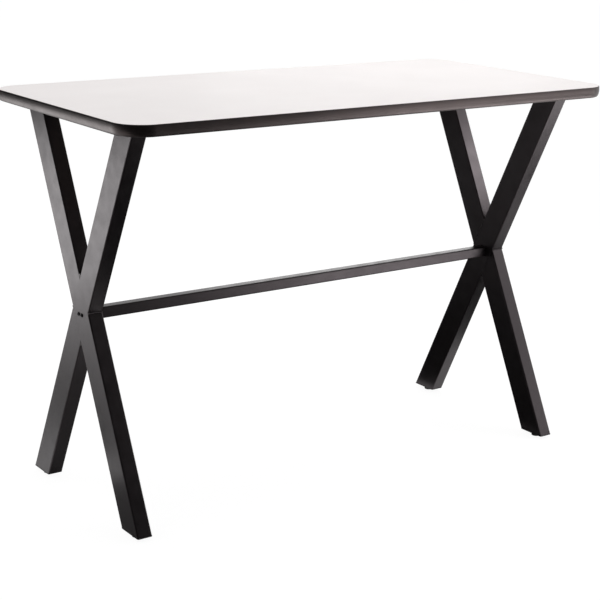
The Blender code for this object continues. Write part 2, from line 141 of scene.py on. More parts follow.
def linear_colour(code: str) -> tuple[float, float, float, float]:
    """Turn an sRGB hex colour into linear light.

    Args:
        code: A hash and six hex digits.

    Returns:
        Linear red, green and blue, and an alpha of 1.
    """
    channels = [int(code[start:start + 2], 16) / 255 for start in (1, 3, 5)]
    linear = [value / SRGB_SLOPE if value <= SRGB_KNEE
              else ((value + SRGB_OFFSET) / (1 + SRGB_OFFSET)) ** SRGB_POWER for value in channels]
    return (*linear, 1.0)


def new_material(name: str) -> Material:
    """Start a material with a node tree.

    Args:
        name: Its name.

    Returns:
        The material.
    """
    made = bpy.data.materials.new(name)
    made.use_nodes = True
    return made


def feed(tree: NodeTree, node: Node, inputs: dict) -> None:
    """Set or link a node's input sockets.

    Args:
        tree: The node tree.
        node: The node.
        inputs: Input sockets, by name or index, and the value or output socket that each takes.
    """
    for key, value in inputs.items():
        if isinstance(value, NodeSocket):
            tree.links.new(value, node.inputs[key])
        else:
            node.inputs[key].default_value = value


def add_node(tree: NodeTree, kind: str, settings: Optional[dict] = None,
             inputs: Optional[dict] = None) -> Node:
    """Add a shader node with its settings and links.

    Args:
        tree: The node tree.
        kind: The node's type name.
        settings: Properties of the node and their values.
        inputs: What its input sockets take.

    Returns:
        The new node.
    """
    made = tree.nodes.new(kind)
    for name, value in (settings or {}).items():
        setattr(made, name, value)
    feed(tree, made, inputs or {})
    return made


@dataclass(frozen=True)
class Finish:
    """A real material and how its surface was made, as a procedural shader.

    The grain is the fine relief, the drift a slow change of colour, and handling a slow change of roughness.
    A detail counts a noise's finer layers, and a range is the part of the noise that is used.
    """

    name: str
    colour: str
    drift_colour: str
    roughness: float
    roughness_swing: float
    grain: Grain
    grain_mm: float
    grain_height_mm: float
    drift_mm: float = 160.0
    handling_mm: float = 35.0
    metallic: float = 0.0
    ior: float = 1.5
    sheen_tint: str = "#FFFFFF"
    stretch: Triple = (1.0, 1.0, 1.0)
    pebble_softness: float = 0.6
    hill_detail: float = 2.0
    pit_detail: float = 5.0
    hill_roughness: float = 0.55
    drift_detail: float = 3.0
    drift_range: tuple[float, float] = (0.35, 0.65)
    handling_detail: float = 4.0
    handling_range: tuple[float, float] = (0.3, 0.7)

    def relief(self, tree: NodeTree, place: NodeSocket) -> NodeSocket:
        """Draw the surface's fine relief.

        Args:
            tree: The material's node tree.
            place: Object coordinates.

        Returns:
            The height of the relief, from 0 to 1.
        """
        along = add_node(tree, "ShaderNodeVectorMath", {"operation": "MULTIPLY"}, {0: place, 1: self.stretch})
        scale = 1 / (self.grain_mm * MM)
        if self.grain in (Grain.PEBBLE, Grain.CHIPS):
            cells = add_node(tree, "ShaderNodeTexVoronoi", {"feature": "SMOOTH_F1"},
                             {"Vector": along.outputs[0], "Scale": scale, "Smoothness": self.pebble_softness})
            return cells.outputs["Distance"]
        detail = self.pit_detail if self.grain is Grain.SPARKED else self.hill_detail
        hills = add_node(tree, "ShaderNodeTexNoise", {},
                         {"Vector": along.outputs[0], "Scale": scale, "Detail": detail,
                          "Roughness": self.hill_roughness})
        return hills.outputs["Fac"]

    def tint(self, tree: NodeTree, place: NodeSocket) -> NodeSocket:
        """Let the colour drift a little over the surface, or from chip to chip.

        Args:
            tree: The material's node tree.
            place: Object coordinates.

        Returns:
            The surface's colour.
        """
        if self.grain is Grain.CHIPS:
            chips = add_node(tree, "ShaderNodeTexVoronoi", {},
                             {"Vector": place, "Scale": 1 / (self.grain_mm * MM)})
            share = chips.outputs["Color"]
        else:
            clouds = add_node(tree, "ShaderNodeTexNoise", {},
                              {"Vector": place, "Scale": 1 / (self.drift_mm * MM),
                               "Detail": self.drift_detail})
            share = add_node(tree, "ShaderNodeMapRange", {"interpolation_type": "SMOOTHSTEP"},
                             {"Value": clouds.outputs["Fac"], "From Min": self.drift_range[0],
                              "From Max": self.drift_range[1]}).outputs[0]
        # A Mix node's colours are its sockets 6 and 7, and output 2 carries the mixed colour.
        mixed = add_node(tree, "ShaderNodeMix", {"data_type": "RGBA"},
                         {0: share, 6: linear_colour(self.colour), 7: linear_colour(self.drift_colour)})
        return mixed.outputs[2]

    @cached_property
    def material(self) -> Material:
        """Make the material when it is first wanted.

        Returns:
            The one material of this finish.
        """
        made = new_material(self.name)
        tree = made.node_tree
        shader = tree.nodes["Principled BSDF"]
        place = add_node(tree, "ShaderNodeTexCoord").outputs["Object"]
        handled = add_node(tree, "ShaderNodeTexNoise", {},
                           {"Vector": place, "Scale": 1 / (self.handling_mm * MM),
                            "Detail": self.handling_detail})
        gloss = add_node(tree, "ShaderNodeMapRange", {},
                         {"Value": handled.outputs["Fac"],
                          "From Min": self.handling_range[0], "From Max": self.handling_range[1],
                          "To Min": self.roughness - self.roughness_swing,
                          "To Max": self.roughness + self.roughness_swing})
        bump = add_node(tree, "ShaderNodeBump", {},
                        {"Height": self.relief(tree, place), "Distance": self.grain_height_mm * MM})
        feed(tree, shader, {"Base Color": self.tint(tree, place), "Roughness": gloss.outputs[0],
                            "Normal": bump.outputs[0], "Metallic": self.metallic})
        if not self.metallic:
            feed(tree, shader, {"IOR": self.ior, "Specular Tint": linear_colour(self.sheen_tint)})
        return made


# High pressure laminate, pressed against a fine textured plate: a bright, even white whose sheen is broken
# up by pebbles too small to see one by one. Real pebbles are about 0.3 mm apart, and are drawn at 1.2 mm.
WHITE_LAMINATE = Finish("white_laminate_pressed", "#F2EDEC", "#EFEAE9", 0.48, 0.04, Grain.PEBBLE, 1.2, 0.012,
                        drift_mm=300.0, handling_mm=90.0, ior=1.46)

# Kraft paper backing laminate, sanded on the glue side and plain on the other: a dry brown with faint
# clouds. The paper's grain is about 0.4 mm, and is drawn at 1.5 mm.
BROWN_BACKER = Finish("kraft_backer_laminate", "#6A5F54", "#655A50", 0.62, 0.03, Grain.PEBBLE, 1.5, 0.02)

# Particle board, pressed from chips 2 to 5 mm long. It hides inside the top, and shows only when it is apart.
PARTICLE_BOARD = Finish("particle_board_pressed", "#B99B74", "#8F7350", 0.85, 0.05, Grain.CHIPS, 3.5, 0.15)

# Polyurethane moulded round the board in a grained tool: a soft, deep black that greys where it turns away.
# The tool's grain is about 0.4 mm, and is drawn at 1.6 mm.
BLACK_EDGE = Finish("black_polyurethane_moulded", "#0F0E0E", "#141212", 0.38, 0.04, Grain.SPARKED, 1.6, 0.018,
                    ior=1.6, sheen_tint="#FFE6E4")

# Polyester powder, sprayed and baked: satin black over steel with a faint orange peel. Real peel has hills
# about 1.5 mm apart, and they are drawn at 2.8 mm.
BLACK_POWDER_COAT = Finish("black_powder_coat_satin", "#0F0D0E", "#131011", 0.34, 0.04, Grain.PEEL, 2.8, 0.13,
                           drift_mm=240.0, ior=1.52, sheen_tint="#FFEFF5")

# Glass-filled nylon from a spark-eroded mould: a dull dark grey-black, a shade drier than the coat above it.
# Real pits are about 0.1 mm across, and are drawn at 0.9 mm.
BLACK_NYLON = Finish("black_nylon_moulded", "#171717", "#1D1D1D", 0.52, 0.05, Grain.SPARKED, 0.9, 0.02,
                     drift_mm=30.0, handling_mm=9.0, ior=1.53)

# Alloy steel blackened in hot salts and oiled: a dark metal with a thin, uneven shine. Its etched grain is
# finer than 0.1 mm, and is drawn at 0.5 mm.
BLACK_OXIDE = Finish("black_oxide_steel", "#2B2B2D", "#201F21", 0.36, 0.08, Grain.SPARKED, 0.5, 0.01,
                     drift_mm=6.0, handling_mm=3.0, metallic=1.0)

# Steel as it left the mill and the saw: mid grey, with lines along the table's length. Real lines are about
# 0.2 mm apart, and are drawn at 0.6 mm.
BARE_STEEL = Finish("mild_steel_sawn", "#8C8A88", "#76726E", 0.42, 0.08, Grain.DRAWN, 0.6, 0.012,
                    drift_mm=12.0, handling_mm=5.0, metallic=1.0, stretch=(0.05, 1.0, 1.0))

# Bright zinc plate, dipped in a clear passivate: silver that drifts between a blue and a straw tint. The
# wire's upright lines are finer than 0.1 mm, and are drawn at 0.5 mm.
ZINC_PLATE = Finish("zinc_plated_steel", "#C3C9D0", "#CFCBBE", 0.28, 0.07, Grain.DRAWN, 0.5, 0.006,
                    drift_mm=5.0, handling_mm=4.0, metallic=1.0, stretch=(1.0, 1.0, 0.3))


def dress(node: str, finish: Finish) -> None:
    """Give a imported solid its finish.

    Args:
        node: The solid's node name.
        finish: Its finish.
    """
    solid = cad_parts[node]
    if not solid.material_slots:
        solid.data.materials.append(None)
    for slot in solid.material_slots:
        slot.material = finish.material
    log.info("dressed %s in %s", node, finish.name)


def deliver(piece: Object, name: str, finish: Finish, slot: str, *stands_for: str,
            body: str = FIXED_BODY) -> None:
    """Close, smooth and name a new piece, then hang it on its body.

    Args:
        piece: The piece, placed in the table's frame.
        name: Its name.
        finish: Its finish.
        slot: Not used.
        stands_for: The solids that it is shown instead of.
        body: The body that it rides on.
    """
    only(piece)
    bpy.ops.object.transform_apply(location=True, rotation=True, scale=True)
    with editing(piece, Pick.VERTICES):
        bpy.ops.mesh.remove_doubles(threshold=MERGE_DISTANCE)
        bpy.ops.mesh.normals_make_consistent(inside=False)
    bpy.ops.object.shade_smooth_by_angle(angle=SMOOTH_ANGLE)
    modify(piece, "WEIGHTED_NORMAL", {"keep_sharp": True})
    piece.name = piece.data.name = name
    piece.data.materials.clear()
    piece.data.materials.append(finish.material)
    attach(piece, body)
    if stands_for:
        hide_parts(*stands_for)
    log.info("made %s, %d faces, on %s", name, len(piece.data.polygons), body)


def add_object(name: str, data: ID) -> Object:
    """Put data into the scene as a new object.

    Args:
        name: The object's name.
        data: Its mesh, curve, light or camera.

    Returns:
        The object.
    """
    item = bpy.data.objects.new(name, data)
    bpy.context.scene.collection.objects.link(item)
    return item


def only(piece: Object) -> None:
    """Make a piece the only selected object, and the active one.

    Args:
        piece: The piece.
    """
    bpy.ops.object.select_all(action="DESELECT")
    piece.select_set(True)
    bpy.context.view_layer.objects.active = piece


@contextmanager
def editing(piece: Object, kind: Pick) -> Iterator[None]:
    """Open a piece in edit mode with everything selected, and close it again.

    Args:
        piece: The piece.
        kind: What is selected there.

    Yields:
        Nothing.
    """
    only(piece)
    bpy.ops.object.mode_set(mode="EDIT")
    bpy.ops.mesh.select_mode(type=kind.value)
    bpy.ops.mesh.select_all(action="SELECT")
    yield
    bpy.ops.object.mode_set(mode="OBJECT")


def pick(piece: Object, wanted: Callable[[BMFace | BMEdge], bool]) -> None:
    """Select some of the faces or edges in edit mode, whichever it selects, and nothing else.

    Args:
        piece: The piece.
        wanted: Says whether one is selected.
    """
    bpy.ops.mesh.select_all(action="DESELECT")
    mesh = bmesh.from_edit_mesh(piece.data)
    for item in mesh.faces if Pick.FACES.value in mesh.select_mode else mesh.edges:
        if wanted(item):
            item.select_set(True)
    mesh.select_flush_mode()
    bmesh.update_edit_mesh(piece.data)


def extrude(step: Sequence[float]) -> None:
    """Pull out what is selected, with its sides.

    Args:
        step: How far it goes along X, Y and Z.
    """
    bpy.ops.mesh.extrude_region_move(TRANSFORM_OT_translate={"value": step})


def modify(piece: Object, kind: str, settings: dict) -> None:
    """Give a piece a modifier and apply it.

    Args:
        piece: The piece.
        kind: The modifier's type name.
        settings: Properties of the modifier and their values.
    """
    only(piece)
    modifier = piece.modifiers.new(kind, kind)
    for name, value in settings.items():
        setattr(modifier, name, value)
    bpy.ops.object.modifier_apply(modifier=modifier.name)


def rounded_plane(length: float, depth: float, radius: float, height: float, segments: int) -> Object:
    """Make a level plane with round corners, centred on the table.

    Args:
        length: Its size along X.
        depth: Its size along Y.
        radius: The radius of its corners.
        height: Its height above the floor.
        segments: Steps in each corner.

    Returns:
        The plane, its face up.
    """
    bpy.ops.mesh.primitive_plane_add(size=1, location=(0, 0, height))
    piece = bpy.context.object
    piece.scale = (length, depth, 1)
    bpy.ops.object.transform_apply(location=False, rotation=False, scale=True)
    with editing(piece, Pick.VERTICES):
        bpy.ops.mesh.bevel(offset=radius, segments=segments, affect="VERTICES", clamp_overlap=False)
    return piece


def block(sizes: Sequence[float]) -> Object:
    """Add a block, centred on the origin.

    Args:
        sizes: Its sizes along X, Y and Z.

    Returns:
        The block.
    """
    bpy.ops.mesh.primitive_cube_add(size=1)
    piece = bpy.context.object
    piece.scale = sizes
    bpy.ops.object.transform_apply(location=False, rotation=False, scale=True)
    return piece


def hexagon_bar(across: float, depth: float, height: float) -> Object:
    """Add an upright hexagonal bar on the Z axis.

    Args:
        across: Its size across two flats.
        depth: Its size along Z.
        height: The height of its middle.

    Returns:
        The bar.
    """
    corner_radius = across / 2 / math.cos(math.radians(180 / HEXAGON_SIDES))
    bpy.ops.mesh.primitive_cylinder_add(vertices=HEXAGON_SIDES, radius=corner_radius, depth=depth,
                                        location=(0, 0, height))
    return bpy.context.object


def lay(piece: Object, place: Sequence[float], turn: Sequence[float] = (0, 0, 0)) -> None:
    """Turn a piece about the origin, put it in its place and apply both to its mesh.

    Args:
        piece: The piece, made at the origin.
        place: Where the origin goes.
        turn: The turn about X, Y and Z.
    """
    only(piece)
    piece.rotation_euler = turn
    piece.location = place
    bpy.ops.object.transform_apply(location=True, rotation=True, scale=True)


def trim(piece: Object, point: Vector, normal: Vector) -> None:
    """Saw a closed piece with a plane and cap the cut.

    Args:
        piece: The piece.
        point: A point on the plane.
        normal: The plane's normal, pointing to the side that falls off.
    """
    with editing(piece, Pick.FACES):
        bpy.ops.mesh.bisect(plane_co=point, plane_no=normal, use_fill=True, clear_outer=True)


def ease(piece: Object, width: float, segments: int) -> None:
    """Round every sharp edge of a piece.

    Args:
        piece: The piece.
        width: The width of the rounding.
        segments: Steps in it.
    """
    modify(piece, "BEVEL", {"width": width, "segments": segments, "limit_method": "ANGLE",
                            "angle_limit": SMOOTH_ANGLE})


def combine(piece: Object, tool: Object, tooling: Tooling) -> None:
    """Cut a tool out of a piece, or join it on, and throw the tool away.

    Args:
        piece: The piece.
        tool: The tool.
        tooling: Whether it cuts or joins.
    """
    modify(piece, "BOOLEAN", {"object": tool, "operation": tooling.value, "solver": "EXACT"})
    bpy.data.objects.remove(tool)


def turned(profile: Sequence[tuple[float, float]], steps: int) -> Object:
    """Turn a profile about the Z axis, as on a lathe.

    Args:
        profile: Points of radius and height, with both ends on the axis.
        steps: Steps round the axis.

    Returns:
        The closed piece.
    """
    bpy.ops.mesh.primitive_plane_add(size=1)
    piece = bpy.context.object
    with editing(piece, Pick.VERTICES):
        bpy.ops.mesh.merge(type="CENTER")
        bpy.ops.transform.translate(value=(profile[0][0], 0, profile[0][1]))
        for (radius, height), (next_radius, next_height) in zip(profile, profile[1:]):
            extrude((next_radius - radius, 0, next_height - height))
        bpy.ops.mesh.select_all(action="SELECT")
        bpy.ops.mesh.spin(steps=steps, angle=math.tau, center=(0, 0, 0), axis=(0, 0, 1))
        bpy.ops.mesh.select_all(action="SELECT")
        bpy.ops.mesh.remove_doubles(threshold=SPIN_MERGE_DISTANCE)
        bpy.ops.mesh.normals_make_consistent(inside=False)
    return piece


def arc(centre: tuple[float, float], radii: tuple[float, float], start: float, end: float,
        steps: int) -> list[tuple[float, float]]:
    """Points along part of an ellipse.

    Args:
        centre: Its centre.
        radii: Its two radii.
        start: The first angle, in degrees from the first axis.
        end: The last angle.
        steps: How many steps to take.

    Returns:
        The points, both ends included.
    """
    angles = [math.radians(start + (end - start) * step / steps) for step in range(steps + 1)]
    return [(centre[0] + radii[0] * math.cos(angle), centre[1] + radii[1] * math.sin(angle))
            for angle in angles]


def weld_bead(points: Sequence[Vector], radius: float, closed: bool = False) -> Object:
    """Lay a bead of weld along a route, with its ripples.

    Args:
        points: Corners of the route.
        radius: The bead's radius.
        closed: Whether the route returns to its start.

    Returns:
        The bead as a mesh.
    """
    spacing = 0.8 * MM
    ripple_pitch = 2.4 * MM
    ripple = 0.10
    round_steps = 2
    route = []
    ends = list(points) + ([points[0]] if closed else [])
    for start, end in zip(ends, ends[1:]):
        count = max(1, round((end - start).length / spacing))
        route += [start.lerp(end, step / count) for step in range(count)]
    if not closed:
        route.append(ends[-1])
    curve = bpy.data.curves.new("bead", "CURVE")
    curve.dimensions = "3D"
    curve.bevel_depth = radius
    curve.bevel_resolution = round_steps
    curve.use_fill_caps = True
    spline = curve.splines.new("POLY")
    spline.points.add(len(route) - 1)
    spline.use_cyclic_u = closed
    for index, (point, place) in enumerate(zip(spline.points, route)):
        point.co = (*place, 1.0)
        point.radius = 1 + ripple * math.sin(math.tau * index * spacing / ripple_pitch)
    only(add_object("bead", curve))
    bpy.ops.object.convert(target="MESH")
    return bpy.context.object


@dataclass(frozen=True)
class TubeSection:
    """The section of a rectangular steel tube with round corners."""

    side: float
    width: float
    corner: float
    wall: float
    corner_segments: int = 8

    def stock(self, length: float, place: Sequence[float], turn: Sequence[float]) -> list[Object]:
        """Make a solid bar of the section and a slightly longer one for its bore, both in place.

        Args:
            length: The solid bar's length.
            place: Where its middle goes.
            turn: The turn about X, Y and Z.

        Returns:
            The solid bar and the bore's bar.
        """
        bars = []
        for inset in (0, self.wall):
            bar = block((self.side - 2 * inset, self.width - 2 * inset, length + inset))
            with editing(bar, Pick.EDGES):
                # Only the upright edges cross the level plane through the block's middle.
                pick(bar, lambda edge: edge.verts[0].co.z * edge.verts[1].co.z < 0)
                bpy.ops.mesh.bevel(offset=self.corner - inset, segments=self.corner_segments,
                                   affect="EDGES", clamp_overlap=False)
            lay(bar, place, turn)
            bars.append(bar)
        return bars


@dataclass
class WorkTop:
    """The top: laminate, core board, backing laminate and the black edge moulded round them."""

    corner_radius: float = 76.2 * MM
    edge_width: float = 12.0 * MM
    lip: float = 2.2 * MM
    lip_flat: float = 0.6 * MM
    bulge_depth: float = 11.0 * MM
    undercut: float = 7.0 * MM
    widest_band: float = 0.4 * MM
    seam: float = 0.08 * MM
    arris: float = 0.25 * MM
    corner_segments: int = 28
    upper_steps: int = 10
    lower_steps: int = 16

    def __post_init__(self) -> None:
        """Read the top's outline and heights from its packed edge."""
        low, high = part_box("top_edge")
        self.length = high.x - low.x
        self.depth = high.y - low.y
        self.underside = low.z
        self.surface = high.z
        self.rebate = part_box("top_laminate")[0].z

    def build(self) -> None:
        """Make the edge and the work surface, and dress the hidden boards."""
        self.mould_edge()
        self.press_surface()
        dress("top_core", PARTICLE_BOARD)
        dress("underside_backer", BROWN_BACKER)

    def step_in(self, steps: Sequence[tuple[float, float]]) -> None:
        """Inset the selected face along a profile.

        Args:
            steps: How far inside the outline and beyond the face the profile lies at each step.
        """
        for (inset, rise), (next_inset, next_rise) in zip(steps, steps[1:]):
            bpy.ops.mesh.inset(thickness=next_inset - inset, depth=next_rise - rise, use_even_offset=True)

    def mould_edge(self) -> None:
        """Mould the edge: a round upper half, a fuller undercut lower half and a rebate for the laminate."""
        widest = self.surface - self.bulge_depth
        piece = rounded_plane(self.length, self.depth, self.corner_radius, widest, self.corner_segments)
        crown = self.lip - self.lip_flat
        upper = arc((crown, 0), (crown, self.bulge_depth), 180, 90, self.upper_steps)
        drop = widest - self.widest_band - self.underside
        lower = arc((self.undercut, 0), (self.undercut, drop), 180, 90, self.lower_steps)
        with editing(piece, Pick.FACES):
            extrude((0, 0, -self.widest_band))
            pick(piece, lambda face: face.normal.z < -FACING_SHARE)
            self.step_in(lower + [(self.edge_width, drop)])
            bpy.ops.mesh.delete(type="ONLY_FACE")
            pick(piece, lambda face: face.normal.z > FACING_SHARE)
            self.step_in(upper + [(self.lip, self.bulge_depth)])
            extrude((0, 0, self.rebate - self.surface))
            self.step_in([(self.lip, 0), (self.edge_width, 0)])
            bpy.ops.mesh.delete(type="ONLY_FACE")
            bpy.ops.mesh.select_mode(type=Pick.EDGES.value)
            pick(piece, lambda edge: edge.is_boundary)
            bpy.ops.mesh.bridge_edge_loops()
        deliver(piece, "moulded_edge_band", BLACK_EDGE, "black_edge", "top_edge")

    def press_surface(self) -> None:
        """Cut the white laminate to the edge's lip and ease its arris."""
        inset = self.lip + self.seam
        piece = rounded_plane(self.length - 2 * inset, self.depth - 2 * inset, self.corner_radius - inset,
                              self.rebate, self.corner_segments)
        with editing(piece, Pick.FACES):
            extrude((0, 0, self.surface - self.rebate - self.arris))
            self.step_in([(0, 0), (self.arris, self.arris)])
        deliver(piece, "work_surface", WHITE_LAMINATE, "white_laminate", "top_laminate")


@dataclass
class CrossFrame:
    """One X frame: a long leg and two half legs welded to it, a mounting plate, and the stretcher's bolts."""

    side: Side
    leg_width: float = 76.2 * MM
    leg_wall: float = 2.0 * MM
    leg_corner: float = 3.5 * MM
    leg_inset: float = 124.5 * MM
    stock_share: float = 1.5
    notch_bead: float = 2.5 * MM
    notch_sunk: float = 0.3 * MM
    seam_bead: float = 0.8 * MM
    seam_sunk: float = 0.5 * MM
    ground_width: float = 5.6 * MM
    ground_depth: float = 2.8 * MM
    ground_over: float = 1.4 * MM
    ground_proud: float = 0.02 * MM
    head_bead: float = 2.4 * MM
    screw_numbers: tuple[int, ...] = (1, 2, 3, 4, 5)
    bolt_numbers: tuple[int, ...] = (1, 2)
    hole_radius: float = 3.3 * MM
    hole_steps: int = 32
    shank_share: float = 0.57
    head_rim: float = 0.6 * MM
    dome_steps: int = 10
    bolt_steps: int = 48
    socket_across: float = 4.0 * MM
    socket_depth: float = 2.0 * MM

    def __post_init__(self) -> None:
        """Read the frame's place and heights from its packed legs."""
        self.word = self.side.word
        self.sign = self.side.value
        low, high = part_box(f"{self.word}_long_leg")
        self.x = (low.x + high.x) / 2
        self.leg_side = high.x - low.x
        self.leg_bottom = low.z
        self.leg_top = high.z
        self.section = TubeSection(self.leg_side, self.leg_width, self.leg_corner, self.leg_wall)
        self.crossing = Vector((self.x, 0, CAD_BOX[1].z / 2))
        self.lean = math.atan((CAD_BOX[1].y - self.leg_inset) / self.crossing.z)

    def build(self) -> None:
        """Make the legs, welds and bolts, and dress what the legs hide."""
        self.cut_legs()
        self.weld_crossing()
        self.weld_heads()
        self.turn_bolts()
        dress(f"{self.word}_mounting_plate", BLACK_POWDER_COAT)
        for number in self.screw_numbers:
            dress(f"{self.word}_top_screw_{number}", ZINC_PLATE)
        for number in self.bolt_numbers:
            dress(f"{self.word}_bolt_spacer_{number}", BARE_STEEL)
        dress(f"{self.word}_stretcher_block", BARE_STEEL)

    def across(self) -> Vector:
        """Give the direction across the long leg, pointing up to the side where the upper half leg joins."""
        return Vector((0, self.sign * math.cos(self.lean), math.sin(self.lean)))

    def leg(self, lean: float, cuts: Sequence[tuple[Vector, Vector]]) -> Object:
        """Make one length of leg tube.

        Args:
            lean: The angle that the leg is turned by about X.
            cuts: A point and a normal for each saw cut, the normal pointing to the waste.

        Returns:
            The tube.
        """
        length = self.stock_share * (self.leg_top - self.leg_bottom)
        tube, bore = self.section.stock(length, self.crossing, (lean, 0, 0))
        for point, normal in cuts:
            trim(tube, point, normal)
        combine(tube, bore, Tooling.CUT)
        return tube

    def cut_legs(self) -> None:
        """Cut the three legs to length and drill the long one for the bolts."""
        up = Vector((0, 0, 1))
        top = (Vector((0, 0, self.leg_top)), up)
        bottom = (Vector((0, 0, self.leg_bottom)), -up)
        across = self.across()
        flank = across * self.leg_width / 2
        lean = self.sign * self.lean
        long_leg = self.leg(lean, [top, bottom])
        for number in self.bolt_numbers:
            low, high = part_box(f"{self.word}_stretcher_bolt_{number}")
            middle = (low + high) / 2
            bpy.ops.mesh.primitive_cylinder_add(
                vertices=self.hole_steps, radius=self.hole_radius, depth=2 * self.leg_side,
                location=(self.x, middle.y, middle.z), rotation=(0, QUARTER_TURN, 0))
            combine(long_leg, bpy.context.object, Tooling.CUT)
        parts = {
            "long_leg": long_leg,
            "upper_half_leg": self.leg(-lean, [top, (self.crossing + flank, -across)]),
            "lower_half_leg": self.leg(-lean, [bottom, (self.crossing - flank, across)]),
        }
        for name, tube in parts.items():
            node = f"{self.word}_{name}"
            deliver(tube, f"{node}_tube", BLACK_POWDER_COAT, "black_powder_coat", node)

    def ground_weld(self, way: int) -> Object:
        """Fill the outer side of one seam with weld, ground flush with the faces of both legs.

        Args:
            way: 1 for the upper half leg's seam, -1 for the lower one's.

        Returns:
            The weld.
        """
        piece = block((self.ground_depth, self.ground_width, 2 * self.leg_width))
        face = self.sign * (self.leg_side / 2 + self.ground_proud - self.ground_depth / 2)
        seam = self.leg_width / 2 + self.ground_over - self.ground_width / 2
        lay(piece, self.crossing + Vector((face, 0, 0)) + way * seam * self.across(),
            (self.sign * self.lean, 0, 0))
        half_leg_across = Vector((0, -self.sign * math.cos(self.lean), math.sin(self.lean)))
        flat = self.leg_width / 2 - self.leg_corner
        for side in (1, -1):
            trim(piece, self.crossing + side * flat * half_leg_across, side * half_leg_across)
        return piece

    def weld_crossing(self) -> None:
        """Weld the half legs on: beads in the four notches, a small seam inside and a ground one outside."""
        half = self.leg_width / 2
        beads = []
        inner_end = Vector((-self.sign * (self.leg_side / 2 - self.leg_corner), 0, 0))
        outer_end = Vector((self.sign * (self.leg_side / 2 - self.notch_sunk), 0, 0))
        peak = Vector((0, 0, half / math.sin(self.lean)))
        cheek = Vector((0, half / math.cos(self.lean), 0))
        tangent = self.notch_bead / math.sin(self.lean)
        for corner, out in ((peak, tangent), (peak, self.notch_bead), (cheek, 0.0)):
            for way in (1, -1):
                middle = self.crossing + way * (corner + corner.normalized() * out)
                beads.append(weld_bead([middle + inner_end, middle + outer_end], self.notch_bead))
        inner = Vector((-self.sign * (self.leg_side / 2 - self.seam_sunk), 0, 0))
        for way in (1, -1):
            start = self.crossing + inner + way * self.sign * cheek
            end = self.crossing + inner + way * peak
            beads.append(weld_bead([start, end], self.seam_bead))
            beads.append(self.ground_weld(way))
        self.finish_welds(beads, "crossing_welds")

    def weld_heads(self) -> None:
        """Run a bead round each leg head where it meets the mounting plate."""
        half_y = self.leg_width / 2 / math.cos(self.lean)
        head_y = (self.leg_top - self.crossing.z) * math.tan(self.lean)
        beads = []
        for way in (-1, 1):
            middle = Vector((self.x, way * head_y, self.leg_top))
            corners = [middle + Vector((sx * self.leg_side / 2, sy * half_y, 0))
                       for sx, sy in ((1, 1), (-1, 1), (-1, -1), (1, -1))]
            beads.append(weld_bead(corners, self.head_bead, closed=True))
        self.finish_welds(beads, "head_welds")

    def finish_welds(self, beads: Sequence[Object], name: str) -> None:
        """Join beads into one piece and coat it.

        Args:
            beads: The beads.
            name: The piece's name, without the side.
        """
        only(beads[0])
        for bead in beads:
            bead.select_set(True)
        bpy.ops.object.join()
        deliver(beads[0], f"{self.word}_{name}", BLACK_POWDER_COAT, "black_powder_coat")

    def turn_bolts(self) -> None:
        """Turn the two button head bolts that hold the stretcher, with their sockets."""
        for number in self.bolt_numbers:
            node = f"{self.word}_stretcher_bolt_{number}"
            low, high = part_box(node)
            middle = (low + high) / 2
            tip, top = (low.x, high.x) if self.sign > 0 else (-high.x, -low.x)
            seat = self.sign * self.x + self.leg_side / 2
            head_radius = (high.z - low.z) / 2
            head_height = top - seat
            shank = head_radius * self.shank_share
            dome = arc((0, self.head_rim), (head_radius, head_height - self.head_rim), 0, 90, self.dome_steps)
            profile = [(0, tip - seat), (shank, tip - seat), (shank, 0), (head_radius, 0)] + dome
            bolt = turned(profile, self.bolt_steps)
            combine(bolt, hexagon_bar(self.socket_across, 2 * self.socket_depth, head_height), Tooling.CUT)
            lay(bolt, (self.x + self.sign * self.leg_side / 2, middle.y, middle.z),
                (0, self.sign * QUARTER_TURN, 0))
            deliver(bolt, f"{self.word}_button_bolt_{number}", BLACK_OXIDE, "black_oxide", node)


@dataclass
class Stretcher:
    """The square tube that joins the two crossings."""

    wall: float = 2.0 * MM
    corner: float = 4.0 * MM

    def build(self) -> None:
        """Make the tube, its round corners running along the table."""
        low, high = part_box("stretcher_tube")
        side = high.z - low.z
        section = TubeSection(side, side, self.corner, self.wall)
        tube, bore = section.stock(high.x - low.x, (low + high) / 2, (0, QUARTER_TURN, 0))
        combine(tube, bore, Tooling.CUT)
        deliver(tube, "stretcher_square_tube", BLACK_POWDER_COAT, "black_powder_coat", "stretcher_tube")


